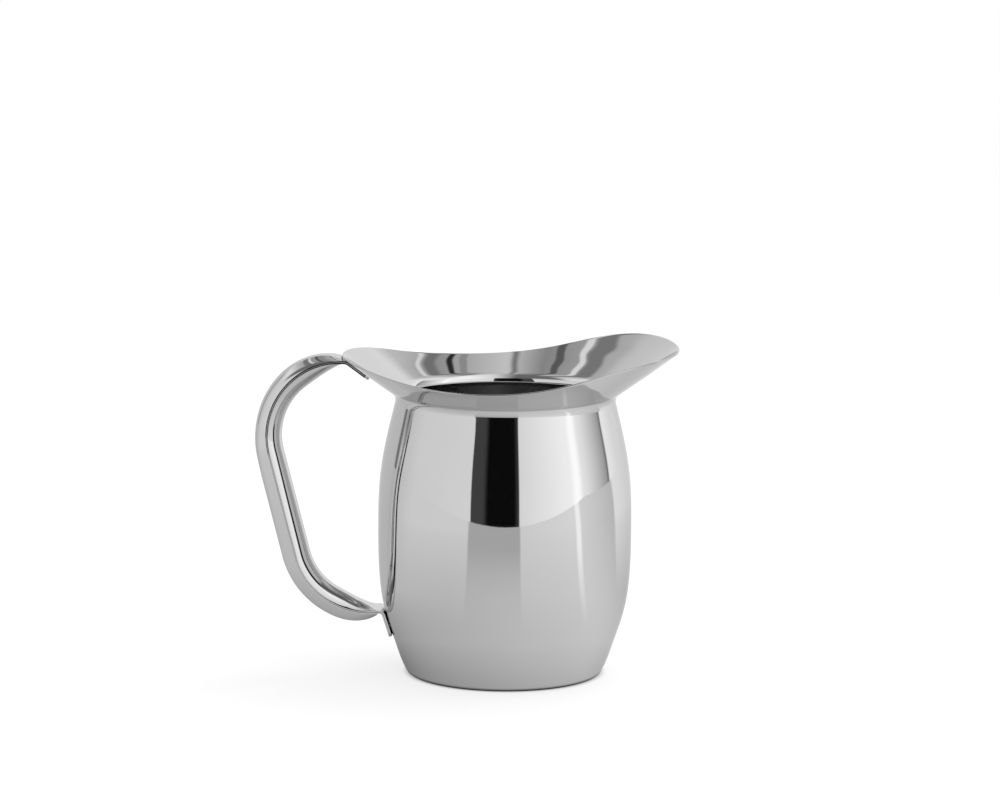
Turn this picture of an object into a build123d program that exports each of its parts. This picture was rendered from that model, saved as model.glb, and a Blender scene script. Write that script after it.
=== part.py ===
from build123d import *
import math
import os

# Bell pitcher in polished stainless sheet. Millimetres.
# Origin at the centre of the standing ring, +X towards the spout, +Z up.

# ---- sheet -------------------------------------------------------------
sheet = 0.8              # thickness of every pressed sheet

# ---- vessel ------------------------------------------------------------
ring_inner_r = 43.0      # inner edge of the turned-in standing ring
ring_outer_r = 49.5      # where the standing ring starts to turn up
foot_round = 3.4         # outside radius of the foot corner
foot_wall_angle = 62.0   # slope of the wall as it leaves the foot corner
belly_r = 67.4           # largest outside radius
wall_steps = 10          # spans used to carry the wall's outline to its inside
throat_wall_angle = 103.6  # slope of the wall as it reaches the throat
throat_round = 6.0       # outside radius of the bend from wall to lip
lip_angle = 36.4         # slope of the conical lip above the horizontal
lip_ref_r = 53.3         # radius of the lip cone's underside at lip_ref_z
lip_ref_z = 145.75
lip_blank_r = 103.0      # lip radius before it is trimmed

# ---- base --------------------------------------------------------------
base_r = 48.5            # edge of the base disc, lapped over the ring
base_flat_r = 40.0       # the lap stays flat out from here
base_dish_r = 36.0       # the raised centre is flat in from here
base_rise = 1.6          # height of the raised centre
bead = 0.7               # leg of the weld bead under the lap

# ---- handle ------------------------------------------------------------
bend_r = 40.0            # radius of both bends, on the seam line
upper_centre = (-86.2, 127.5)
lower_centre = (-72.4, 73.0)
upper_fold_r = 5.0       # bend from the grip into the upper tab
lower_fold_r = 2.6       # bend from the grip into the lower tab
upper_tab_inner_x = -71.6
lower_tab_foot_z = 20.0
lower_tab_touch_z = 26.0  # height where the lower tab lies on the wall
tab_half_width = 10.0
grip_half_width = 9.6
outer_depth = 7.5        # seam plane to the outside of the outer shell
outer_depth_bend = 6.3   # the same, round the upper bend
depth_reach = 34.0       # length over which that depth changes
width_reach = 22.0       # length over which the tabs narrow to the grip
land_reach = 12.0
inner_depth = 7.7        # seam plane to the outside of the inner shell
arch_angle = 74.0        # part of each half oval used either side of its crown
seam_land = 0.35         # upright land beside the seam, in the grip
seam_weld_half = 0.3     # half the width of the bead along each side seam
seam_weld_crown = 0.12
seam_weld_clear = 0.01
seam_gap = 0.01          # hair gap between the two halves of the grip
tab_round = 2.5          # corners of the free ends of the tabs

# ---- spot welds ----------------------------------------------------------
spot_r = 2.0
spot_spacing = 9.0
spot_inset = 6.5         # from the fold to the row of nuggets
spot_depth = 0.4         # depth of a nugget in the vessel wall
spot_dimple = 0.1        # how far a nugget sits below the tab face

os.makedirs("parts", exist_ok=True)

lip_run = 1 / math.tan(math.radians(lip_angle))
lip_blank_z = lip_ref_z + (lip_blank_r - lip_ref_r) / lip_run
foot_turn = math.radians(foot_wall_angle)
foot_end = (
    ring_outer_r + foot_round * math.sin(foot_turn),
    foot_round * (1 - math.cos(foot_turn)),
)
wall_points = [
    foot_end,
    (58.5, 17.0),
    (64.0, 34.5),
    (67.0, 58.0),
    (belly_r, 80.0),
    (66.6, 103.9),
    (64.1, 121.2),
    (60.1, 139.0),
]
# The wall and the lip cone are joined by a fillet at the throat.
throat_slope = math.tan(math.radians(throat_wall_angle - 90))
throat_z = (wall_points[-1][0] + throat_slope * wall_points[-1][1] + lip_run * lip_ref_z
            - lip_ref_r) / (lip_run + throat_slope)
throat_r = lip_ref_r + lip_run * (throat_z - lip_ref_z)

# Height of the rim above the lip reference, along the length of the vessel.
rim_line = [
    (-110.0, 28.0),
    (-88.0, 25.4),
    (-74.0, 22.9),
    (-55.0, 18.6),
    (-30.0, 15.6),
    (0.0, 15.5),
    (26.0, 18.9),
    (53.0, 25.4),
    (74.0, 29.0),
    (93.0, 28.9),
    (112.0, 24.0),
]


def polar(angle):
    return (math.cos(math.radians(angle)), math.sin(math.radians(angle)))


# ---- handle path, on the plane of symmetry --------------------------------
def wall_radius(z):
    """Outside radius of the wall at height z, read off the wall's own curve."""
    low, high = 0.0, 1.0
    for _ in range(40):
        middle = (low + high) / 2
        if (wall_curve @ middle).Y < z:
            low = middle
        else:
            high = middle
    return (wall_curve @ low).X


wall_curve = Edge.make_spline(
    [Vector(r, z) for r, z in wall_points],
    tangents=(Vector(*polar(foot_wall_angle)), Vector(*polar(throat_wall_angle))),
)
touch_r = wall_radius(lower_tab_touch_z)
step = 0.5
touch_rise = wall_radius(lower_tab_touch_z + step) - wall_radius(lower_tab_touch_z - step)
wall_lean = math.atan2(touch_rise, 2 * step)

# Directions are (x, z). The lower tab runs up the wall, the upper tab runs in under the lip.
lower_run = (-math.sin(wall_lean), math.cos(wall_lean))
lower_out = (-math.cos(wall_lean), -math.sin(wall_lean))
upper_run = (math.cos(math.radians(lip_angle)), -math.sin(math.radians(lip_angle)))
upper_out = (-math.sin(math.radians(lip_angle)), -math.cos(math.radians(lip_angle)))
lower_start = (
    -touch_r + sheet * lower_out[0] + lower_run[0] * (lower_tab_foot_z - lower_tab_touch_z) / lower_run[1],
    lower_tab_foot_z + sheet * lower_out[1],
)
upper_end = (
    upper_tab_inner_x + sheet * upper_out[0],
    lip_ref_z + (-upper_tab_inner_x - lip_ref_r) / lip_run + sheet * upper_out[1],
)


def meet(point, run, centre):
    """First crossing of a ray with the seam line's bend circle about centre."""
    dx = point[0] - centre[0]
    dz = point[1] - centre[1]
    half_b = dx * run[0] + dz * run[1]
    root = math.sqrt(half_b**2 - dx**2 - dz**2 + bend_r**2)
    length = -half_b - root if -half_b - root > 0 else -half_b + root
    return (point[0] + length * run[0], point[1] + length * run[1])


def bearing(centre, point):
    return math.degrees(math.atan2(point[1] - centre[1], point[0] - centre[0]))


lower_corner = meet(lower_start, lower_run, lower_centre)
upper_corner = meet(upper_end, (-upper_run[0], -upper_run[1]), upper_centre)
lean = bearing(lower_centre, upper_centre)

with BuildLine(Plane.XZ) as handle_line:
    Line(lower_start, lower_corner)
    lower_bend = CenterArc(
        lower_centre,
        bend_r,
        bearing(lower_centre, lower_corner),
        lean + 90 - 360 - bearing(lower_centre, lower_corner),
    )
    upper_bend = CenterArc(
        upper_centre,
        bend_r,
        lean + 90,
        bearing(upper_centre, upper_corner) - lean - 90,
    )
    Line(lower_bend @ 1, upper_bend @ 0)
    Line(upper_corner, upper_end)
    fillet(
        handle_line.vertices().sort_by_distance((lower_corner[0], 0, lower_corner[1]))[0],
        lower_fold_r,
    )
    fillet(
        handle_line.vertices().sort_by_distance((upper_corner[0], 0, upper_corner[1]))[0],
        upper_fold_r,
    )
handle_path = handle_line.wire()
path_length = handle_path.length
fold_lengths = [e.length for e in handle_line.edges()]
lower_fold = fold_lengths[0]
lower_root = lower_fold + fold_lengths[1]
upper_fold = path_length - fold_lengths[6]
upper_root = upper_fold - fold_lengths[5]
depth_start = upper_root - 86


# ---- handle sections --------------------------------------------------------
def station(distance):
    """Plane across the handle. Its X is the width and its Y points out of the loop."""
    share = distance / path_length
    return Plane(handle_path @ share, x_dir=(0, 1, 0), z_dir=handle_path % share)


def ease(value):
    return (1 - math.cos(math.pi * min(max(value, 0), 1))) / 2


def swell(distance, reach, power):
    """0 at a tab, 1 in the full grip."""
    return math.sin(math.pi / 2 * min(max(distance / reach, 0), 1)) ** power


def half_width(distance):
    near = min(distance - lower_root, upper_root - distance)
    return tab_half_width + (grip_half_width - tab_half_width) * ease(near / width_reach)


def land(distance):
    near = min(distance - lower_root, upper_root - distance)
    return sheet + (seam_land - sheet) * ease(near / land_reach)


def outer_rise(distance):
    full = outer_depth + (outer_depth_bend - outer_depth) * ease((distance - depth_start) / depth_reach)
    rise = swell(distance - lower_root, 20, 0.6) * swell(upper_root - distance, 32, 0.5)
    return sheet + (full - sheet) * rise


def inner_rise(distance):
    rise = swell(distance - lower_root, 26, 0.8) * swell(upper_root - distance, 27, 0.75)
    return sheet + (inner_depth - sheet) * rise


def half_section(distance, rise, side, inset=0.0):
    """Closed half oval on one side of the seam plane, with an upright land at each edge."""
    base = side * seam_gap / 2 if inset == 0 else 0
    width = half_width(distance) - inset
    foot = max(land(distance) - inset / 4, 0.1)
    crown = rise(distance) - inset
    tip = math.radians(arch_angle)
    arch = []
    for i in range(-4, 5):
        angle = tip * i / 4
        height = foot + (crown - foot) * (math.cos(angle) - math.cos(tip)) / (1 - math.cos(tip))
        arch.append((width * math.sin(angle) / math.sin(tip), side * height))
    Line((-width, base), arch[0])
    Spline(*arch)
    Line(arch[-1], (width, base))
    Line((width, base), (-width, base))


# Stations of the swells at the two ends. Between them the section is constant.
lower_steps = (0, 1.0, 2.2, 3.8, 5.8, 8.5, 12, 16, 20, 23.5, 26, 27)
upper_steps = (88, 86, 82, 76, 69, 61, 53, 45, 37, 30, 24, 18.5, 14, 10.5, 7.5, 4.8, 2.6, 1.2, 0)
lower_stations = [lower_root + step for step in lower_steps]
upper_stations = [upper_root - step for step in upper_steps]
grip_path = handle_path.trim(lower_stations[-1] / path_length, upper_stations[0] / path_length)


def grip_form(rise, side, inset, stations_in, stations_out):
    """Solid half of the grip: a swell, the constant grip, and the other swell."""
    with BuildPart() as form:
        with BuildSketch(station(stations_in[-1])):
            with BuildLine():
                half_section(stations_in[-1], rise, side, inset)
            make_face()
        sweep(path=grip_path)
        for stations in (stations_in, stations_out):
            for distance in stations:
                with BuildSketch(station(distance)):
                    with BuildLine():
                        half_section(distance, rise, side, inset)
                    make_face()
            loft()
    return form.part


def tab_form(side, fold, root, run, length):
    """Flat tab with rounded free corners, and the fold that joins it to the grip."""
    face = Plane(station(fold).origin, x_dir=(0, 1, 0), z_dir=station(fold).y_dir)
    first = min(fold, root) / path_length
    last = max(fold, root) / path_length
    with BuildPart() as form:
        with BuildSketch(face) as outline:
            with Locations((0, run * length / 2)):
                Rectangle(2 * tab_half_width, length)
            fillet(outline.vertices().sort_by(Axis.Y, reverse=run > 0)[:2], tab_round)
        extrude(amount=side * sheet)
        with BuildSketch(station(min(fold, root))):
            with Locations((0, side * sheet / 2)):
                Rectangle(2 * tab_half_width, sheet)
        sweep(path=handle_path.trim(first, last))
    return form.part


def seam_section(distance, edge):
    """Low triangular bead lying over the seam, a hair clear of the sheets."""
    foot = edge * (half_width(distance) + seam_weld_clear)
    Polyline(
        (foot, seam_weld_half),
        (foot, -seam_weld_half),
        (foot + edge * seam_weld_crown, 0),
        close=True,
    )


def spot_form(distance, near, far):
    """Spot-weld nuggets across a tab, from near to far along the outward direction."""
    face = Plane(station(distance).origin, x_dir=(0, 1, 0), z_dir=station(distance).y_dir)
    with BuildPart() as form:
        with BuildSketch(face.offset(near)):
            with GridLocations(spot_spacing, 1, 2, 1):
                Circle(spot_r)
        extrude(amount=far - near)
    return form.part


outer_form = grip_form(outer_rise, 1, 0, lower_stations, upper_stations)
outer_hollow = grip_form(outer_rise, 1, sheet, lower_stations[3:], upper_stations[:-3])
inner_form = grip_form(inner_rise, -1, 0, lower_stations, upper_stations)
inner_hollow = grip_form(inner_rise, -1, sheet, lower_stations[4:], upper_stations[:-3])

upper_tab_length = path_length - upper_fold
lower_spot = lower_fold - spot_inset
upper_spot = upper_fold + spot_inset
reach = sheet + spot_depth
lower_nuggets = spot_form(lower_spot, sheet - spot_dimple, -reach)
upper_nuggets = spot_form(upper_spot, spot_dimple - sheet, reach)
lower_holes = spot_form(lower_spot, 2 * sheet, -reach)
upper_holes = spot_form(upper_spot, -2 * sheet, reach)

# ---- body shell --------------------------------------------------------------
# The inside of the wall is the outside moved along its normals by the sheet.
inner_points = []
for i in range(wall_steps + 1):
    at = wall_curve @ (i / wall_steps)
    run = wall_curve % (i / wall_steps)
    inner_points.append((at.X - sheet * run.Y, at.Y + sheet * run.X))
wall_top = polar(throat_wall_angle + 90)
lip_face = polar(lip_angle + 90)
corner_share = sheet / (1 + wall_top[0] * lip_face[0] + wall_top[1] * lip_face[1])
throat_outside = (throat_r, throat_z)
throat_inside = (
    throat_r + corner_share * (wall_top[0] + lip_face[0]),
    throat_z + corner_share * (wall_top[1] + lip_face[1]),
)
blank_outside = (lip_blank_r, lip_blank_z)
blank_inside = (lip_blank_r + sheet * lip_face[0], lip_blank_z + sheet * lip_face[1])

with BuildPart() as body_shell:
    with BuildSketch(Plane.XZ):
        with BuildLine() as profile:
            Line((ring_inner_r, 0), (ring_outer_r, 0))
            CenterArc((ring_outer_r, foot_round), foot_round, -90, foot_wall_angle)
            Spline(*wall_points, tangents=(polar(foot_wall_angle), polar(throat_wall_angle)))
            Polyline(wall_points[-1], throat_outside, blank_outside)
            Line(blank_outside, blank_inside)
            Polyline(blank_inside, throat_inside, inner_points[-1])
            Spline(*inner_points, tangents=(polar(foot_wall_angle), polar(throat_wall_angle)))
            CenterArc((ring_outer_r, foot_round), foot_round - sheet, -90, foot_wall_angle)
            Polyline((ring_outer_r, sheet), (ring_inner_r, sheet), (ring_inner_r, 0))
            fillet(profile.vertices().sort_by_distance((*throat_outside, 0))[0], throat_round)
            fillet(profile.vertices().sort_by_distance((*throat_inside, 0))[0], throat_round + sheet)
        make_face()
    revolve(axis=Axis.Z)
    # Trim the blank to the saddle line, which depends on the length only.
    with BuildSketch(Plane.XZ):
        with BuildLine():
            rim = Spline(*[(x, lip_ref_z + z) for x, z in rim_line])
            Polyline(rim @ 1, (rim_line[-1][0], 200), (rim_line[0][0], 200), rim @ 0)
        make_face()
    extrude(amount=lip_blank_r + 5, both=True, mode=Mode.SUBTRACT)
    add(lower_holes, mode=Mode.SUBTRACT)
    add(upper_holes, mode=Mode.SUBTRACT)
body_shell.part.label = "body_shell"
export_step(body_shell.part, "parts/body_shell.step")

# ---- base disc ---------------------------------------------------------------
with BuildPart() as base_disc:
    with BuildSketch(Plane.XZ):
        with BuildLine():
            under = Polyline(
                (base_r, sheet),
                (base_flat_r, sheet),
                (base_dish_r, sheet + base_rise),
                (0, sheet + base_rise),
            )
            offset(under, amount=sheet, side=Side.RIGHT)
        make_face()
    revolve(axis=Axis.Z)
base_disc.part.label = "base_disc"
export_step(base_disc.part, "parts/base_disc.step")

# ---- base seam weld ------------------------------------------------------------
# Bead in the corner between the ring's inner edge and the underside of the lap.
with BuildPart() as base_seam_weld:
    with BuildSketch(Plane.XZ):
        with BuildLine():
            Polyline(
                (ring_inner_r, sheet - bead),
                (ring_inner_r, sheet),
                (ring_inner_r - bead, sheet),
                close=True,
            )
        make_face()
    revolve(axis=Axis.Z)
base_seam_weld.part.label = "base_seam_weld"
export_step(base_seam_weld.part, "parts/base_seam_weld.step")

# ---- handle outer shell -------------------------------------------------------
with BuildPart() as handle_outer_shell:
    add(outer_form)
    add(tab_form(1, lower_fold, lower_root, 1, lower_fold))
    add(tab_form(1, upper_fold, upper_root, -1, upper_tab_length))
    add(outer_hollow, mode=Mode.SUBTRACT)
    add(lower_holes, mode=Mode.SUBTRACT)
    add(upper_holes, mode=Mode.SUBTRACT)
handle_outer_shell.part.label = "handle_outer_shell"
export_step(handle_outer_shell.part, "parts/handle_outer_shell.step")

# ---- handle inner shell -------------------------------------------------------
with BuildPart() as handle_inner_shell:
    add(inner_form)
    add(tab_form(-1, lower_fold, lower_root, 1, lower_fold))
    add(tab_form(-1, upper_fold, upper_root, -1, upper_tab_length))
    add(inner_hollow, mode=Mode.SUBTRACT)
    add(lower_holes, mode=Mode.SUBTRACT)
    add(upper_holes, mode=Mode.SUBTRACT)
handle_inner_shell.part.label = "handle_inner_shell"
export_step(handle_inner_shell.part, "parts/handle_inner_shell.step")

# ---- handle seam welds ---------------------------------------------------------
with BuildPart() as handle_seam_welds:
    for edge in (-1, 1):
        for stations in (lower_stations, upper_stations):
            for distance in stations:
                with BuildSketch(station(distance)):
                    with BuildLine():
                        seam_section(distance, edge)
                    make_face()
            loft()
        with BuildSketch(station(lower_stations[-1])):
            with BuildLine():
                seam_section(lower_stations[-1], edge)
            make_face()
        sweep(path=grip_path)
handle_seam_welds.part.label = "handle_seam_welds"
export_step(handle_seam_welds.part, "parts/handle_seam_welds.step")

# ---- spot welds ------------------------------------------------------------------
with BuildPart() as upper_tab_welds:
    add(upper_nuggets)
upper_tab_welds.part.label = "upper_tab_welds"
export_step(upper_tab_welds.part, "parts/upper_tab_welds.step")

with BuildPart() as lower_tab_welds:
    add(lower_nuggets)
lower_tab_welds.part.label = "lower_tab_welds"
export_step(lower_tab_welds.part, "parts/lower_tab_welds.step")
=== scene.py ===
import math

import bmesh
import bpy
import numpy as np
from mathutils import Matrix, Vector


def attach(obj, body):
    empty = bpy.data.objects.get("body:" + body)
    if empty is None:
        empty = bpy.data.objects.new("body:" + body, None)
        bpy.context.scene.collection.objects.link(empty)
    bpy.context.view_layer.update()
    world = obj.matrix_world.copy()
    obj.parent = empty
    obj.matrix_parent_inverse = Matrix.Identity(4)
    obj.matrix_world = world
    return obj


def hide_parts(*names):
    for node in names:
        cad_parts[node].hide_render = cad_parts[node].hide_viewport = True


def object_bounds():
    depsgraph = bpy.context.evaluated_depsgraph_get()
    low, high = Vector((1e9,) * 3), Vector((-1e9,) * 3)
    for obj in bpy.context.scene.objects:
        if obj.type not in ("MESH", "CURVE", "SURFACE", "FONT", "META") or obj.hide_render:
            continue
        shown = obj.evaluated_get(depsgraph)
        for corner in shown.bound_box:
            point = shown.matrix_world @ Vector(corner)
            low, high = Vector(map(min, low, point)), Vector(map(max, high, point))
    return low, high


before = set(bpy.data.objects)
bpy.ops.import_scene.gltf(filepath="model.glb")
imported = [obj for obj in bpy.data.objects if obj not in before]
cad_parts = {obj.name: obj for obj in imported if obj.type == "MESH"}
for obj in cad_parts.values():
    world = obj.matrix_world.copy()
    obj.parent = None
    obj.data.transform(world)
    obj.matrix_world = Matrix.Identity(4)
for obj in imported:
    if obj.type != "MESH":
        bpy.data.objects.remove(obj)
cad_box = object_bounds()

MM = 0.001
DEG = 180 / math.pi

# ---- dimensions in millimetres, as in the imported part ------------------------
SHEET = 0.8
RING_IN, RING_OUT = 43.0, 49.5
FOOT_R = 3.4
FOOT_SLOPE = math.radians(62.0)
THROAT_SLOPE = math.radians(103.6)
THROAT_R = 6.0
LIP_SLOPE = math.radians(36.4)
LIP_REF = (53.3, 145.75)
# (radius, height) knots of the wall above the foot
WALL = [(58.5, 17.0), (64.0, 34.5), (67.0, 58.0), (67.4, 80.0), (66.6, 103.9), (64.1, 121.2),
        (60.1, 139.0)]
# (x, height above LIP_REF) knots of the rim, seen from the side
RIM = [(-110.0, 28.0), (-88.0, 25.4), (-74.0, 22.9), (-55.0, 18.6), (-30.0, 15.6), (0.0, 15.5),
       (26.0, 18.9), (53.0, 25.4), (74.0, 29.0), (93.0, 28.9), (112.0, 24.0)]
BASE_R, BASE_FLAT_R, BASE_DISH_R, BASE_RISE = 48.5, 40.0, 36.0, 1.6

BEND_R = 40.0
UPPER_C = np.array([-86.2, 127.5])
LOWER_C = np.array([-72.4, 73.0])
UPPER_FOLD, LOWER_FOLD = 5.0, 2.6
UPPER_TAB_X = -71.6
LOWER_TAB_Z = 20.0
LOWER_TOUCH_Z = 26.0
TAB_W, GRIP_W = 10.0, 9.6
TAB_ROUND = 2.5


# ---- curves --------------------------------------------------------------------
def spline(t, p, clamp=None):
    """Cubic spline through p at parameters t, as a function, with given end slopes or natural ends."""
    t = np.asarray(t, float)
    p = np.asarray(p, float).reshape(len(t), -1)
    n = len(t)
    h = np.diff(t)
    a = np.zeros((n, n))
    b = np.zeros_like(p)
    for i in range(1, n - 1):
        a[i, i - 1:i + 2] = h[i], 2 * (h[i - 1] + h[i]), h[i - 1]
        b[i] = 3 * (h[i] * (p[i] - p[i - 1]) / h[i - 1] + h[i - 1] * (p[i + 1] - p[i]) / h[i])
    if clamp is None:
        a[0, :2] = 2, 1
        b[0] = 3 * (p[1] - p[0]) / h[0]
        a[-1, -2:] = 1, 2
        b[-1] = 3 * (p[-1] - p[-2]) / h[-1]
    else:
        a[0, 0] = a[-1, -1] = 1
        b[0], b[-1] = clamp
    m = np.linalg.solve(a, b)

    def value(x):
        x = np.clip(np.asarray(x, float), t[0], t[-1])
        k = np.clip(np.searchsorted(t, x, side="right") - 1, 0, n - 2)
        u = ((x - t[k]) / h[k])[..., None]
        w = h[k][..., None]
        return ((1 + 2 * u) * (1 - u) ** 2 * p[k] + u * (1 - u) ** 2 * w * m[k]
                + u * u * (3 - 2 * u) * p[k + 1] + u * u * (u - 1) * w * m[k + 1])

    return value


def unit(angle):
    """Unit vector at an angle."""
    return np.array([math.cos(angle), math.sin(angle)])


def arc(centre, radius, start, end, count):
    """Points on an arc from one angle to another."""
    a = np.linspace(start, end, count)
    return np.stack([centre[0] + radius * np.cos(a), centre[1] + radius * np.sin(a)], -1)


foot_end = np.array([RING_OUT + FOOT_R * math.sin(FOOT_SLOPE), FOOT_R * (1 - math.cos(FOOT_SLOPE))])
wall_knots = np.array([foot_end] + WALL)
wall_t = np.concatenate([[0], np.cumsum(np.linalg.norm(np.diff(wall_knots, axis=0), axis=1))])
wall = spline(wall_t, wall_knots, (unit(FOOT_SLOPE), unit(THROAT_SLOPE)))
rim_height = spline([x for x, _ in RIM], [[z] for _, z in RIM])
SLOPE_STEP = 0.05


def wall_rows(count, inset):
    """Outline of the wall from foot to throat, moved inwards by inset."""
    t = np.linspace(0, wall_t[-1], count)
    p = wall(t)
    d = wall(t + SLOPE_STEP) - wall(t - SLOPE_STEP)
    d /= np.linalg.norm(d, axis=1)[:, None]
    return p + inset * np.stack([-d[:, 1], d[:, 0]], -1)


def wall_radius(z):
    """Outer radius of the wall at a height."""
    p = wall(np.linspace(0, wall_t[-1], 4000))
    return float(np.interp(z, p[:, 1], p[:, 0]))


# ---- mesh helpers -----------------------------------------------------------------
def grid_object(name, points, wrap_rows, wrap_cols, sharp=None, caps=False):
    """Quad mesh from a rows x cols x 3 grid of points in millimetres."""
    rows, cols, _ = points.shape
    index = np.arange(rows * cols).reshape(rows, cols)
    r = np.arange(rows if wrap_rows else rows - 1)
    c = np.arange(cols if wrap_cols else cols - 1)
    rr, cc = np.meshgrid(r, c, indexing="ij")
    r2, c2 = (rr + 1) % rows, (cc + 1) % cols
    quads = np.stack([index[rr, cc], index[rr, c2], index[r2, c2], index[r2, cc]], -1).reshape(-1, 4)
    faces = [tuple(int(v) for v in q) for q in quads]
    if caps:
        faces.append(tuple(int(v) for v in index[0][::-1]))
        faces.append(tuple(int(v) for v in index[-1]))
    mesh = bpy.data.meshes.new(name)
    mesh.from_pydata([tuple(v) for v in (points.reshape(-1, 3) * MM)], [], faces)
    mesh.validate()
    mesh.shade_smooth()
    if sharp is not None:
        mesh.set_sharp_from_angle(angle=math.radians(sharp))
    obj = bpy.data.objects.new(name, mesh)
    bpy.context.scene.collection.objects.link(obj)
    return obj


def fix_normals(obj):
    """Turn all faces of a closed mesh outwards."""
    bm = bmesh.new()
    bm.from_mesh(obj.data)
    bmesh.ops.recalc_face_normals(bm, faces=bm.faces)
    bm.to_mesh(obj.data)
    bm.free()


# ---- vessel -----------------------------------------------------------------------
def throat_fillet(inset, radius, count):
    """Points on the bend from wall to lip, and the lip line's start and direction."""
    top = wall_knots[-1] + inset * unit(THROAT_SLOPE + math.pi / 2)
    lip = np.array(LIP_REF) + inset * unit(LIP_SLOPE + math.pi / 2)
    a, b = unit(THROAT_SLOPE), unit(LIP_SLOPE)
    # corner of the two lines, then the tangent circle on the outer side
    k = np.linalg.solve(np.stack([a, -b], -1), lip - top)
    corner = top + k[0] * a
    half = (THROAT_SLOPE - LIP_SLOPE) / 2
    cut = radius * math.tan(half)
    centre = corner - cut * a - radius * unit(THROAT_SLOPE + math.pi / 2)
    pts = arc(centre, radius, THROAT_SLOPE + math.pi / 2, LIP_SLOPE + math.pi / 2, count)
    return pts, corner + cut * b, b


SEGMENTS = 320
theta = np.arange(SEGMENTS) * 2 * math.pi / SEGMENTS
WALL_ROWS = 100
BEND_ROWS = 20
LIP_ROWS = 30
RIM_ROWS = 9
VESSEL_SHARP = 50
# the rim's rounding starts this far back from the trimmed edge
RIM_BACK = 0.52
# the trim is taken at this share of the sheet's thickness
RIM_TRIM = 0.8
LIP_SAG = 0.6
LIP_RIPPLE = 0.03
RIPPLE_LONG, RIPPLE_SHORT, SHORT_SHARE = 3.4, 1.9, 0.25
RIPPLE_SWING = 2


def rim_reach(start, direction):
    """Distance along a lip line, for every theta, at which it meets the trimmed rim."""
    s = np.full(SEGMENTS, 30.0)
    # damped steps towards the crossing
    for _ in range(60):
        r = start[0] + s * direction[0]
        z = LIP_REF[1] + rim_height(r * np.cos(theta))[:, 0]
        s = 0.5 * s + 0.5 * (z - start[1]) / direction[1]
    return s


def lip_dressing(share, s):
    """How far the hand-dressed lip is out of true, along its normal: nothing at throat and rim."""
    sag = LIP_SAG * (share ** 3 - share)
    broad = np.sin(s / RIPPLE_LONG + RIPPLE_SWING * np.sin(3 * theta))
    fine = np.sin(s / RIPPLE_SHORT + 4 * theta)
    return sag + LIP_RIPPLE * (broad + SHORT_SHARE * fine) * np.sin(math.pi * share)


def spin(profile, angles=theta):
    """Turn an outline of (radius, height) rows round the axis."""
    r, z = profile[:, 0], profile[:, 1]
    return np.stack([r[:, None] * np.cos(angles), r[:, None] * np.sin(angles),
                     np.repeat(z[:, None], len(angles), 1)], -1)


def ring(r, z):
    """Rows of points from radii and heights given for every theta."""
    return np.stack([r * np.cos(theta), r * np.sin(theta), z], -1)


def make_body():
    """Ring, foot, wall, throat, lip and rounded rim as one closed sheet."""
    lower_out = np.concatenate([
        np.stack([np.linspace(RING_IN, RING_OUT, 6), np.zeros(6)], -1)[:-1],
        arc((RING_OUT, FOOT_R), FOOT_R, -math.pi / 2, -math.pi / 2 + FOOT_SLOPE, 10)[:-1],
        wall_rows(WALL_ROWS, 0),
    ])
    bend_out, start_out, run = throat_fillet(0, THROAT_R, BEND_ROWS)
    bend_in, start_in, _ = throat_fillet(SHEET, THROAT_R + SHEET, BEND_ROWS)
    normal = unit(LIP_SLOPE + math.pi / 2)
    reach = rim_reach(start_out + RIM_TRIM * SHEET * normal, run) - RIM_BACK
    share = np.linspace(0, 1, LIP_ROWS)[1:, None]

    def lip_ring(s, off):
        """Rows s along the lip line and off along its normal."""
        return ring(start_out[0] + s * run[0] + off * normal[0],
                    start_out[1] + s * run[1] + off * normal[1])

    s_out = share * reach[None, :]
    half = SHEET / 2
    a = np.linspace(0, math.pi, RIM_ROWS)[1:-1, None]
    along, across = half * np.sin(a), half - half * np.cos(a)
    # the inside of the lip ends square to the outside
    top = reach[None, :] * np.ones_like(share)
    in_zero = (start_in - start_out) @ run
    s_in = in_zero + (top - in_zero) * share[::-1]
    lower_in = np.concatenate([
        wall_rows(WALL_ROWS, SHEET)[::-1],
        arc((RING_OUT, FOOT_R), FOOT_R - SHEET, -math.pi / 2 + FOOT_SLOPE, -math.pi / 2, 8)[1:],
        np.stack([np.linspace(RING_OUT, RING_IN, 5), np.full(5, SHEET)], -1)[1:],
    ])

    parts = [spin(lower_out), spin(bend_out[1:]), lip_ring(s_out, lip_dressing(share, s_out)),
             lip_ring(reach[None, :] + along, across),
             lip_ring(s_in, SHEET + lip_dressing(share[::-1], s_in)),
             spin(bend_in[::-1]), spin(lower_in[1:])]
    counts = np.cumsum([len(p) for p in parts])
    body = grid_object("body_shell_sheet", np.concatenate(parts), True, True, sharp=VESSEL_SHARP)
    # material 1 below the throat on the inside, 2 on the rounded rim (darker steel that paints a
    # shaded line along the rim), 0 elsewhere
    inner_from = counts[5] + 1
    rim_from, rim_to = counts[2], counts[3] - 2
    for poly in body.data.polygons:
        row = poly.index // SEGMENTS
        if inner_from <= row < counts[-1] - 4:
            poly.material_index = 1
        elif rim_from <= row < rim_to:
            poly.material_index = 2
    return body


BASE_ROWS = 60
BASE_SEGMENTS = 160
BASE_HOLE_R = 0.02


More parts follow.
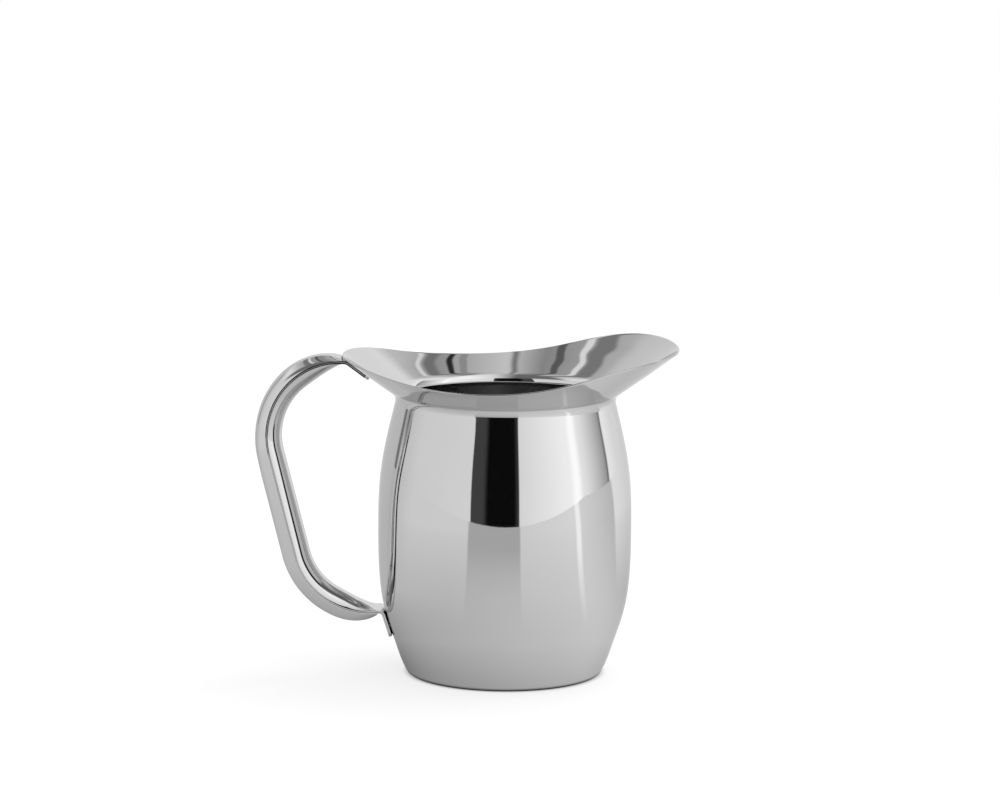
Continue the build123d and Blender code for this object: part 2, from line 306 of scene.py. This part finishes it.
def make_base():
    """Disc lapped on the ring, with a raised centre."""
    crown = SHEET + BASE_RISE
    p = np.array([(0.0, crown), (BASE_DISH_R - 2, crown), (BASE_DISH_R, crown - 0.15),
                  (BASE_FLAT_R - 0.6, SHEET + 0.2), (BASE_FLAT_R + 0.8, SHEET), (BASE_R, SHEET)])
    t = np.concatenate([[0], np.cumsum(np.linalg.norm(np.diff(p, axis=0), axis=1))])
    f = spline(t, p)
    under = f(np.linspace(0.0, t[-1], BASE_ROWS))
    under[0, 0] = BASE_HOLE_R
    under[:, 1] = np.clip(under[:, 1], SHEET, crown)
    over = under + np.array([0, SHEET])
    angles = np.arange(BASE_SEGMENTS) * 2 * math.pi / BASE_SEGMENTS
    grid = spin(np.concatenate([under, over[::-1]]), angles)
    return grid_object("base_disc_sheet", grid, True, True, sharp=VESSEL_SHARP)


# ---- handle path --------------------------------------------------------------------
# The seam line on the plane of symmetry, as (x, z), from the lower tab's end to the upper tab's.
lean = math.atan2(wall_radius(LOWER_TOUCH_Z + 0.5) - wall_radius(LOWER_TOUCH_Z - 0.5), 1.0)
low_run = np.array([-math.sin(lean), math.cos(lean)])
low_out = np.array([-math.cos(lean), -math.sin(lean)])
up_run = np.array([math.cos(LIP_SLOPE), -math.sin(LIP_SLOPE)])
up_under = np.array([-math.sin(LIP_SLOPE), -math.cos(LIP_SLOPE)])
low_start = np.array([-wall_radius(LOWER_TOUCH_Z), LOWER_TOUCH_Z]) + SHEET * low_out
low_start = low_start + low_run * (LOWER_TAB_Z - LOWER_TOUCH_Z) / low_run[1]
up_end_z = LIP_REF[1] + (-UPPER_TAB_X - LIP_REF[0]) * math.tan(LIP_SLOPE)
up_end = np.array([UPPER_TAB_X, up_end_z]) + SHEET * up_under


def fold(point, run, side, radius, centre, reach):
    """Fold between a straight tab and a bend circle: its centre and its two tangent points."""
    base = point + side * radius
    d = base - centre
    b = d @ run
    root = math.sqrt(b * b - d @ d + reach * reach)
    t = -b - root if -b - root > 0 else -b + root
    c = base + t * run
    return c, c - side * radius, centre + (c - centre) * BEND_R / np.linalg.norm(c - centre)


low_left = np.array([-low_run[1], low_run[0]])
low_c, low_a, low_b = fold(low_start, low_run, low_left, LOWER_FOLD, LOWER_C, BEND_R + LOWER_FOLD)
up_c, up_b, up_a = fold(up_end, -up_run, up_under, UPPER_FOLD, UPPER_C, BEND_R - UPPER_FOLD)
line_angle = math.atan2(*(UPPER_C - LOWER_C)[::-1])


def bearing(c, p):
    """Angle of p seen from c."""
    return math.atan2(p[1] - c[1], p[0] - c[0])


def turn(a, b, sign):
    """Sweep from angle a to angle b, anticlockwise if sign is above 0."""
    d = (b - a) % (2 * math.pi)
    return d if sign > 0 else d - 2 * math.pi


low_tangent = LOWER_C + BEND_R * unit(line_angle + math.pi / 2)
up_tangent = UPPER_C + BEND_R * unit(line_angle + math.pi / 2)
# (kind, data, length): straight runs and arcs in order from the lower tab to the upper tab
SEGS = []


def add_line(a, b):
    SEGS.append(("line", a, (b - a) / np.linalg.norm(b - a), float(np.linalg.norm(b - a))))


def add_arc(c, a, b, sign):
    start = bearing(c, a)
    sweep = turn(start, bearing(c, b), sign)
    radius = float(np.linalg.norm(a - c))
    SEGS.append(("arc", c, (radius, start, sweep), abs(sweep) * radius))


add_line(low_start, low_a)
add_arc(low_c, low_a, low_b, 1)
add_arc(LOWER_C, low_b, low_tangent, -1)
add_line(low_tangent, up_tangent)
add_arc(UPPER_C, up_tangent, up_a, -1)
add_arc(up_c, up_a, up_b, -1)
add_line(up_b, up_end)
ends = np.cumsum([0.0] + [s[3] for s in SEGS])
LENGTH = float(ends[-1])
LOW_FOLD, LOW_ROOT = float(ends[1]), float(ends[2])
UP_ROOT, UP_FOLD = float(ends[5]), float(ends[6])


def path(s):
    """Point and heading on the handle's seam line."""
    k = int(np.clip(np.searchsorted(ends, s, side="right") - 1, 0, len(SEGS) - 1))
    kind, a, d, length = SEGS[k]
    u = s - ends[k]
    if kind == "line":
        return a + u * d, d
    radius, start, sweep = d
    angle = start + sweep * u / length
    sign = 1 if sweep > 0 else -1
    return a + radius * unit(angle), sign * unit(angle + math.pi / 2)


# ---- handle sections -------------------------------------------------------------------
# lengths along the handle over which the grip takes shape, from the roots of the tabs
WIDTH_RUN, LAND_RUN = 22, 12
GRIP_LAND = 0.55
OUTER_LOW, OUTER_TOP = 7.5, 6.3
OUTER_CHANGE_FROM, OUTER_CHANGE_RUN = 86, 34
INNER_FULL = 7.7


def ease(v):
    """Smooth step from 0 to 1."""
    return (1 - math.cos(math.pi * min(max(v, 0), 1))) / 2


def swell(d, reach, power):
    """Rise from 0 at the root to 1 at the given reach, fuller for a smaller power."""
    return math.sin(math.pi / 2 * min(max(d / reach, 0), 1)) ** power


def half_width(s):
    """Half the handle's width, with the tabs' rounded ends."""
    near = min(s - LOW_ROOT, UP_ROOT - s)
    w = TAB_W + (GRIP_W - TAB_W) * ease(near / WIDTH_RUN)
    end = min(s, LENGTH - s)
    if end < TAB_ROUND:
        w += math.sqrt(max(TAB_ROUND ** 2 - (TAB_ROUND - end) ** 2, 0)) - TAB_ROUND
    return w


def land(s):
    """Height of the upright edge beside the seam."""
    near = min(s - LOW_ROOT, UP_ROOT - s)
    return SHEET + (GRIP_LAND - SHEET) * ease(near / LAND_RUN)


def outer_rise(s):
    """Height of the outer half above the seam."""
    change = ease((s - UP_ROOT + OUTER_CHANGE_FROM) / OUTER_CHANGE_RUN)
    full = OUTER_LOW + (OUTER_TOP - OUTER_LOW) * change
    return SHEET + (full - SHEET) * swell(s - LOW_ROOT, 20, 0.5) * swell(UP_ROOT - s, 32, 0.5)


def inner_rise(s):
    """Depth of the inner half below the seam."""
    return SHEET + (INNER_FULL - SHEET) * swell(s - LOW_ROOT, 26, 0.8) * swell(UP_ROOT - s, 27, 0.75)


ARCH = math.radians(74.0)
ARCH_POINTS = 40
EDGE_ROUND = 0.18
EDGE_GAP = 0.04
TIP = 0.02
LOW_FINE, UP_FINE = 30, 34
SHELL_SHARP = 38


def half_loop(s, rise, side):
    """Closed outline (v, u) of one pressed half: outside, edge, inside, edge."""
    w = half_width(s)
    foot = land(s)
    crown = max(rise(s), foot)
    a = np.linspace(-ARCH, ARCH, ARCH_POINTS)
    shape = (np.cos(a) - math.cos(ARCH)) / (1 - math.cos(ARCH))
    out_v = w * np.sin(a) / math.sin(ARCH)
    out_u = foot + (crown - foot) * shape
    w_in = w - SHEET
    in_v = w_in * np.sin(a) / math.sin(ARCH)
    in_u = np.maximum(crown - SHEET, 0.0) * shape
    e = EDGE_ROUND
    q = np.linspace(0, math.pi / 2, 4)
    left_v = np.append(-w + e - e * np.sin(q), [-w, -w])
    left_u = np.append(e - e * np.cos(q), [e + EDGE_GAP, foot - EDGE_GAP])
    v = np.concatenate([left_v, out_v, -left_v[::-1], in_v[::-1]])
    u = np.concatenate([left_u, out_u, left_u[::-1], in_u[::-1]])
    return v, side * u


def stations():
    """Distances along the handle: fine near the tabs and folds, coarser on the grip."""
    runs = [
        np.linspace(TIP, TAB_ROUND, 9),
        np.linspace(TAB_ROUND, LOW_FOLD, 5)[1:],
        np.linspace(LOW_FOLD, LOW_ROOT, 8)[1:],
        LOW_ROOT + LOW_FINE * np.linspace(0, 1, 44)[1:] ** 1.7,
        np.linspace(LOW_ROOT + LOW_FINE, UP_ROOT - UP_FINE, 90)[1:],
        UP_ROOT - UP_FINE * np.linspace(1, 0, 44)[1:] ** 1.5,
        np.linspace(UP_ROOT, UP_FOLD, 8)[1:],
        np.linspace(UP_FOLD, LENGTH - TAB_ROUND, 5)[1:],
        np.linspace(LENGTH - TAB_ROUND, LENGTH - TIP, 9)[1:],
    ]
    return np.concatenate(runs)


def place(s, v, u):
    """Section points to space. u points out of the loop, v runs across."""
    p, d = path(s)
    out = np.array([-d[1], d[0]])
    return np.stack([p[0] + u * out[0], v, p[1] + u * out[1]], -1)


def make_shell(name, rise, side):
    """One pressed half of the hollow handle, with its layer of both tabs."""
    rows = [place(s, *half_loop(s, rise, side)) for s in stations()]
    obj = grid_object(name, np.array(rows), False, True, sharp=SHELL_SHARP, caps=True)
    fix_normals(obj)
    return obj


# half width and half height of a seam bead, how deep its middle lies, how far it runs past the grip
BEAD_V, BEAD_U, BEAD_DEPTH, BEAD_OVERRUN = 0.10, 0.20, 0.13, 1.0


def make_seams():
    """Weld metal lying in the groove between the two halves, on both edges; its near-black colour is
    painted shade of the groove.
    """
    span = [s for s in stations() if LOW_ROOT - BEAD_OVERRUN < s < UP_ROOT + BEAD_OVERRUN]
    q = np.linspace(0, 2 * math.pi, 9)[:-1]
    objs = []
    for edge in (-1, 1):
        rows = [place(s, edge * (half_width(s) - BEAD_DEPTH + BEAD_V * np.cos(q)), BEAD_U * np.sin(q))
                for s in span]
        obj = grid_object("seam_bead_%d" % (edge > 0), np.array(rows), False, True, caps=True)
        fix_normals(obj)
        objs.append(obj)
    return objs


# ---- node helpers ------------------------------------------------------------------------
class Nodes:
    """Small shorthand for building a node tree."""

    def __init__(self, tree):
        self.tree = tree
        tree.nodes.clear()

    def new(self, kind, **props):
        """Add a node and set its properties."""
        node = self.tree.nodes.new(kind)
        for key, value in props.items():
            setattr(node, key, value)
        return node

    def link(self, a, b):
        self.tree.links.new(a, b)

    def put(self, socket, value):
        """Link a socket's value, or set a plain one."""
        if hasattr(value, "is_output"):
            self.link(value, socket)
        else:
            socket.default_value = value

    def math(self, op, a, b=0.0, c=None, clamp=False):
        node = self.new("ShaderNodeMath", operation=op, use_clamp=clamp)
        self.put(node.inputs[0], a)
        self.put(node.inputs[1], b)
        if c is not None:
            self.put(node.inputs[2], c)
        return node.outputs[0]

    def step(self, x, low, high):
        """Smooth step of x from 0 at low to 1 at high."""
        node = self.new("ShaderNodeMapRange", interpolation_type="SMOOTHSTEP")
        self.put(node.inputs[0], x)
        self.put(node.inputs[1], low)
        self.put(node.inputs[2], high)
        return node.outputs[0]

    def window(self, x, low, high, soft):
        """1 between low and high, with soft edges."""
        up = self.step(x, low - soft, low + soft)
        down = self.step(x, high - soft, high + soft)
        return self.math("MULTIPLY", up, self.math("SUBTRACT", 1.0, down))

    def share(self, x, low, high):
        """Straight run of x from 0 at low to 1 at high."""
        return self.math("DIVIDE", self.math("SUBTRACT", x, low), high - low, clamp=True)

    def lerp(self, fac, a, b):
        """Mix of a and b."""
        node = self.new("ShaderNodeMix", data_type="FLOAT")
        self.put(node.inputs[0], fac)
        self.put(node.inputs[2], a)
        self.put(node.inputs[3], b)
        return node.outputs[0]

    def noise(self, vector, scale, detail=3.0, rough=0.5):
        node = self.new("ShaderNodeTexNoise")
        self.put(node.inputs["Vector"], vector)
        node.inputs["Scale"].default_value = scale
        node.inputs["Detail"].default_value = detail
        node.inputs["Roughness"].default_value = rough
        return node.outputs["Fac"]

    def scaled(self, vector, scale):
        node = self.new("ShaderNodeMapping")
        self.put(node.inputs["Vector"], vector)
        node.inputs["Scale"].default_value = scale
        return node.outputs[0]

    def bump(self, height, distance, strength=1.0, normal=None):
        """Bumped normal, laid over another one if given."""
        node = self.new("ShaderNodeBump")
        node.inputs["Strength"].default_value = strength
        node.inputs["Distance"].default_value = distance
        self.put(node.inputs["Height"], height)
        if normal is not None:
            self.link(normal, node.inputs["Normal"])
        return node.outputs[0]


def blank_material(name):
    """New node material: itself, its nodes and its output."""
    mat = bpy.data.materials.new(name)
    mat.use_nodes = True
    n = Nodes(mat.node_tree)
    return mat, n, n.new("ShaderNodeOutputMaterial")


EDGE_TINT = 0.8
TONE_SPAN = 0.03
# bump distances in metres
WAVE, WIPE_DEPTH, GRAIN_DEPTH = 0.00006, 0.00004, 0.00008


def steel(name, tone, rough, rough_span, bump, grain=(1, 1, 1)):
    """Polished steel: fine wipe marks in the roughness and a whisper of surface wave."""
    mat, n, out = blank_material(name)
    bsdf = n.new("ShaderNodeBsdfPrincipled")
    coord = n.new("ShaderNodeTexCoord").outputs["Object"]
    grained = n.scaled(coord, grain)
    wipe = n.noise(grained, 180.0, 4.0, 0.6)
    cloud = n.noise(coord, 22.0, 2.0, 0.5)
    fine = n.noise(grained, 1600.0, 2.0, 0.5)
    mixed = n.math("ADD", n.math("MULTIPLY", wipe, 0.6), n.math("MULTIPLY", cloud, 0.4))
    n.put(bsdf.inputs["Roughness"], n.math("MULTIPLY_ADD", mixed, rough_span, rough))
    shade = n.math("MULTIPLY_ADD", cloud, TONE_SPAN, tone - TONE_SPAN / 2)
    colour = n.new("ShaderNodeCombineColor")
    for k in range(3):
        n.put(colour.inputs[k], shade)
    n.link(colour.outputs[0], bsdf.inputs["Base Color"])
    bsdf.inputs["Metallic"].default_value = 1.0
    bsdf.inputs["Specular Tint"].default_value = (EDGE_TINT, EDGE_TINT, EDGE_TINT, 1)
    wave = n.bump(n.noise(coord, 30.0, 0.0), WAVE)
    marks = n.math("ADD", n.math("MULTIPLY", fine, 0.25), wipe)
    n.link(n.bump(marks, WIPE_DEPTH, bump, wave), bsdf.inputs["Normal"])
    n.link(bsdf.outputs[0], out.inputs[0])
    return mat


def weld_metal(name, dark, light, bump):
    """Dressed weld: fine grain and patches of heat colour between dark and light."""
    mat, n, out = blank_material(name)
    bsdf = n.new("ShaderNodeBsdfPrincipled")
    coord = n.new("ShaderNodeTexCoord").outputs["Object"]
    grains = n.noise(coord, 900.0, 4.0, 0.6)
    ramp = n.new("ShaderNodeValToRGB")
    for stop, colour, at in zip(ramp.color_ramp.elements, (dark, light), (0.3, 0.7)):
        stop.color = colour
        stop.position = at
    n.put(ramp.inputs[0], n.noise(coord, 60.0, 2.0))
    n.link(ramp.outputs[0], bsdf.inputs["Base Color"])
    bsdf.inputs["Metallic"].default_value = 1.0
    n.put(bsdf.inputs["Roughness"], n.math("MULTIPLY_ADD", grains, 0.25, 0.3))
    n.link(n.bump(grains, GRAIN_DEPTH, bump), bsdf.inputs["Normal"])
    n.link(bsdf.outputs[0], out.inputs[0])
    return mat


# ---- build the pieces ----------------------------------------------------------------------
vessel = steel("polished_vessel", 0.69, 0.012, 0.025, 0.05)
inside = steel("satin_inside", 0.50, 0.24, 0.08, 0.04, grain=(0.08, 0.08, 0.5))
grip = steel("polished_handle", 0.69, 0.015, 0.03, 0.05)
# rim edge: rougher dressed steel, made darker than the body to paint a shaded line along the rim
edge = steel("dressed_edge_painted_shade", 0.55, 0.10, 0.06, 0.1)
weld = weld_metal("dressed_weld", (0.22, 0.20, 0.18, 1), (0.50, 0.47, 0.43, 1), 0.6)
# seam beads: weld metal made near-black, painted shade in the groove between the handle's halves
seam = weld_metal("seam_weld_painted_shade", (0.05, 0.045, 0.04, 1), (0.12, 0.11, 0.10, 1), 0.15)


def fit_out(obj, slot, node, *materials):
    """Give a piece its materials, and let it stand for a CAD node, if one is named. The slot is not
    used.
    """
    for material in materials:
        obj.data.materials.append(material)
    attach(obj, "root")
    if node:
        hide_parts(node)


fit_out(make_body(), "vessel_steel", "body_shell", vessel, inside, edge)
fit_out(make_base(), "vessel_steel", "base_disc", inside)
fit_out(make_shell("handle_outer_sheet", outer_rise, 1), "handle_steel", "handle_outer_shell", grip)
fit_out(make_shell("handle_inner_sheet", inner_rise, -1), "handle_steel", "handle_inner_shell", grip)
near_bead, far_bead = make_seams()
fit_out(near_bead, "weld_steel", "handle_seam_welds", seam)
fit_out(far_bead, "weld_steel", None, seam)

for name in ("base_seam_weld", "upper_tab_welds", "lower_tab_welds"):
    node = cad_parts[name]
    node.data.materials.clear()
    node.data.materials.append(weld)

# ---- what the polished steel sees ------------------------------------------------------------
# A made-up room, seen only by mirror rays: gradients with soft-edged cards laid over them. Its
# tones are display greys, 0 to 255, as the mirrored steel should show them. They were matched to
# the tones of the photo's reflections, region by region, and rounded.
MIRROR = 0.688
SRGB_KNEE = 0.04045


def seen(grey):
    """Brightness that reads as this display grey once mirrored in the steel."""
    c = grey / 255
    return (c / 12.92 if c < SRGB_KNEE else ((c + 0.055) / 1.055) ** 2.4) / MIRROR


def gradient(n, x, stops):
    """Smooth run of tones over x, through (x, grey) stops."""
    low, high = stops[0][0], stops[-1][0]
    node = n.new("ShaderNodeValToRGB")
    n.put(node.inputs[0], n.share(x, low, high))
    e = node.color_ramp.elements
    while len(e) < len(stops):
        e.new(0.5)
    for k, (at, grey) in enumerate(stops):
        e[k].position = (at - low) / (high - low)
        v = seen(grey)
        e[k].color = (v, v, v, 1)
    return node.outputs[0]


def cards(n, x, tone, stack, strength=1.0):
    """Lay (from, to, grey, edge softness) cards over a tone, one after the other."""
    for low, high, grey, soft in stack:
        cover = n.math("MULTIPLY", n.window(x, low, high, soft), strength)
        tone = n.lerp(cover, tone, seen(grey))
    return tone


# Walls by azimuth in degrees, 0 towards the camera and 90 towards the spout: grey walls, a bright
# window wall on the right that falls off to a door frame, a dark strip behind on the left, a
# black flag by the camera and a strip lamp.
WALL_TONES = [(-180, 220), (-150, 190), (-125, 180), (-90, 200), (15, 210), (60, 235), (80, 220),
              (108, 150), (111, 95), (113, 230), (130, 215), (180, 220)]
WALL_CARDS = [(-126, -121, 105, 2.0), (-31, 13, 60, 0.7), (-18, 11, 10, 3.0), (65, 74, 250, 4.0)]
# Ceiling behind, by the sideways slope of the ray: darker beams and two strip lights.
CEILING_TONES = [(-1.0, 215), (-0.7, 170), (-0.25, 130), (0.0, 190), (0.45, 140), (1.0, 220)]
CEILING_CARDS = [(-0.62, -0.51, 115, 0.02), (-0.50, -0.46, 210, 0.01), (-0.36, -0.31, 85, 0.01),
                 (-0.08, -0.04, 115, 0.02), (0.26, 0.31, 135, 0.01), (0.35, 0.39, 40, 0.01),
                 (0.46, 0.54, 110, 0.02), (0.56, 0.59, 205, 0.01)]
# Ceiling in front, by the sideways part of the ray.
CEILING_FRONT = [(-1.0, 100), (-0.15, 100), (0.15, 205), (0.55, 240), (1.0, 240)]
# Table top as the steel mirrors it: painted reflection tones by azimuth, ring by ring outwards from
# the axis in metres, with painted shade near the foot where the pitcher shades the table, darkest at
# the first ring as a painted contact shadow.
TABLE_PAINTED_TONES = [
    (0.0508, [(-180, 25), (180, 25)]),
    (0.0535, [(-180, 120), (-110, 110), (60, 180), (140, 180), (180, 120)]),
    (0.085, [(-180, 155), (-120, 150), (75, 195), (140, 195), (180, 155)]),
    (0.21, [(-180, 185), (-45, 180), (75, 200), (110, 190), (180, 185)]),
    (0.60, [(-180, 205), (-125, 180), (-90, 200), (15, 200), (60, 210), (112, 180), (114, 220),
            (180, 205)]),
]
# Painted strips on the table by azimuth, matching the walls' cards: a darker painted strip at the
# flag's bearing, a bright painted streak of the strip lamp, and a strip at the dark card behind on the
# left.
TABLE_PAINTED_STRIPS = [(-126, -121, 175, 2.0), (-31, 13, 160, 1.0), (64, 69, 235, 1.5)]

# distances from the axis over which the table's painted strips fade in, and the foot's painted contact
# shadow on the camera's white sheet
CARD_FADE = (0.1, 0.47)
PAINTED_CONTACT_SHADOW = (0.0502, 0.0545)
# elevations over which the walls turn to ceiling, and ray depths over which its back turns to front
COVE = (30, 40)
ROOF_TURN = (-0.05, -0.35)


def azimuth(n, x, y):
    """Degrees round the axis, 0 towards the camera and 90 towards the spout."""
    return n.math("MULTIPLY", n.math("ARCTAN2", x, n.math("MULTIPLY", y, -1.0)), DEG)


def emission(n, strength):
    """White glow of the given strength."""
    node = n.new("ShaderNodeEmission")
    n.put(node.inputs["Strength"], strength)
    return node.outputs[0]


def background(n, strength):
    """White sky of the given strength."""
    node = n.new("ShaderNodeBackground")
    node.inputs["Color"].default_value = (1, 1, 1, 1)
    n.put(node.inputs["Strength"], strength)
    return node.outputs[0]


def blend(n, fac, a, b):
    """Mix of two shaders."""
    node = n.new("ShaderNodeMixShader")
    n.put(node.inputs[0], fac)
    n.link(a, node.inputs[1])
    n.link(b, node.inputs[2])
    return node.outputs[0]


# ---- table ---------------------------------------------------------------------------------
TABLE_FRONT = -0.68
TABLE_REACH = 3.0
TABLE_DROP = 0.02
TABLE_WHITE = 0.93
SHEET_GLOW = 1.02
SHADOW_KEPT = 0.3


def table_material():
    """Pale top: painted reflection tones, with painted shade near the foot, for mirror rays; for the
    camera a glowing white sheet with a painted contact shadow round the foot, keeping only a weak
    share of real shading, so nearly shadowless.
    """
    mat, n, out = blank_material("pale_table")
    lp = n.new("ShaderNodeLightPath")
    sep = n.new("ShaderNodeSeparateXYZ")
    n.link(n.new("ShaderNodeTexCoord").outputs["Object"], sep.inputs[0])
    x, y = sep.outputs[0], sep.outputs[1]
    dist = n.math("SQRT", n.math("ADD", n.math("MULTIPLY", x, x), n.math("MULTIPLY", y, y)))
    az = azimuth(n, x, y)
    tone = gradient(n, az, TABLE_PAINTED_TONES[0][1])
    for (near, _), (far, stops) in zip(TABLE_PAINTED_TONES, TABLE_PAINTED_TONES[1:]):
        tone = n.lerp(n.share(dist, near, far), tone, gradient(n, az, stops))
    tone = cards(n, az, tone, TABLE_PAINTED_STRIPS, n.share(dist, *CARD_FADE))
    diffuse = n.new("ShaderNodeBsdfDiffuse")
    diffuse.inputs["Color"].default_value = (TABLE_WHITE, TABLE_WHITE, TABLE_WHITE, 1)
    matt = diffuse.outputs[0]
    # painted contact shadow: the white sheet's glow fades out close round the foot
    contact = n.math("POWER", n.share(dist, *PAINTED_CONTACT_SHADOW), 0.5)
    sheet = blend(n, SHADOW_KEPT, emission(n, n.lerp(contact, 0.0, SHEET_GLOW)), matt)
    plain = blend(n, lp.outputs["Is Camera Ray"], matt, sheet)
    # mirror rays see the painted reflection and shade tones as a glow
    mirrored = blend(n, lp.outputs["Is Glossy Ray"], plain, emission(n, tone))
    n.link(mirrored, out.inputs[0])
    return mat


def make_table():
    """Flat top just under the ring. Its front edge, out of view, is the horizon in the body."""
    ground = float(cad_box[0][2]) - TABLE_DROP * MM
    mesh = bpy.data.meshes.new("table_top")
    corners = [(-TABLE_REACH, TABLE_FRONT, ground), (TABLE_REACH, TABLE_FRONT, ground),
               (TABLE_REACH, TABLE_REACH, ground), (-TABLE_REACH, TABLE_REACH, ground)]
    mesh.from_pydata(corners, [], [(0, 1, 2, 3)])
    table = bpy.data.objects.new("table_top", mesh)
    bpy.context.scene.collection.objects.link(table)
    table.data.materials.append(table_material())


# ---- studio ---------------------------------------------------------------------------------
def make_studio():
    """White all round for matt surfaces, the graded room for mirror rays."""
    world = bpy.data.worlds.new("studio")
    bpy.context.scene.world = world
    world.use_nodes = True
    n = Nodes(world.node_tree)
    out = n.new("ShaderNodeOutputWorld")
    lp = n.new("ShaderNodeLightPath")
    sep = n.new("ShaderNodeSeparateXYZ")
    n.link(n.new("ShaderNodeTexCoord").outputs["Generated"], sep.inputs[0])
    x, y, z = sep.outputs
    az = azimuth(n, x, y)
    el = n.math("MULTIPLY", n.math("ARCSINE", z), DEG)
    walls = cards(n, az, gradient(n, az, WALL_TONES), WALL_CARDS)
    slope = n.math("DIVIDE", x, n.math("MAXIMUM", z, 0.05))
    roof = cards(n, slope, gradient(n, slope, CEILING_TONES), CEILING_CARDS)
    roof = n.lerp(n.step(y, *ROOF_TURN), roof, gradient(n, x, CEILING_FRONT))
    room = background(n, n.lerp(n.step(el, *COVE), walls, roof))
    n.link(blend(n, lp.outputs["Is Glossy Ray"], background(n, 1.0), room), out.inputs[0])


LAMP_PLACE = Vector((0.5, 0.3, 1.2))
LAMP_AIM = Vector((0, 0, 0.05))
LAMP_SIZE = 0.9
LAMP_POWER = 7.0


def make_lamp():
    """Soft light from high behind on the right, unseen by mirror rays."""
    lamp = bpy.data.lights.new("soft_top", "AREA")
    lamp.shape = "RECTANGLE"
    lamp.size = lamp.size_y = LAMP_SIZE
    lamp.energy = LAMP_POWER
    holder = bpy.data.objects.new("soft_top", lamp)
    holder.location = LAMP_PLACE
    holder.rotation_euler = (LAMP_AIM - LAMP_PLACE).to_track_quat("-Z", "Y").to_euler()
    holder.visible_glossy = False
    bpy.context.scene.collection.objects.link(holder)


# ---- camera ------------------------------------------------------------------------------------
PITCH = math.radians(9.24)
ROLL = math.radians(0.363)
DISTANCE = 2.332
TARGET = Vector((0, 0, 0.14575))
LENS, SENSOR = 158.4, 36.0
SHIFT = (-0.00555, 0.00139)


def make_camera():
    """Long lens in front of the pitcher, a little above it and looking down."""
    look = Vector((0, math.cos(PITCH), -math.sin(PITCH)))
    side = Vector((1, 0, 0))
    cam = bpy.data.cameras.new("camera")
    cam.lens = LENS
    cam.sensor_width = SENSOR
    cam.shift_x, cam.shift_y = SHIFT
    camera = bpy.data.objects.new("camera", cam)
    basis = Matrix((side, side.cross(look), -look)).transposed().to_4x4()
    place_at = Matrix.Translation(TARGET - DISTANCE * look)
    camera.matrix_world = place_at @ basis @ Matrix.Rotation(ROLL, 4, "Z")
    bpy.context.scene.collection.objects.link(camera)
    bpy.context.scene.camera = camera


make_table()
make_studio()
make_lamp()
make_camera()
bpy.context.scene.view_settings.view_transform = "Standard"
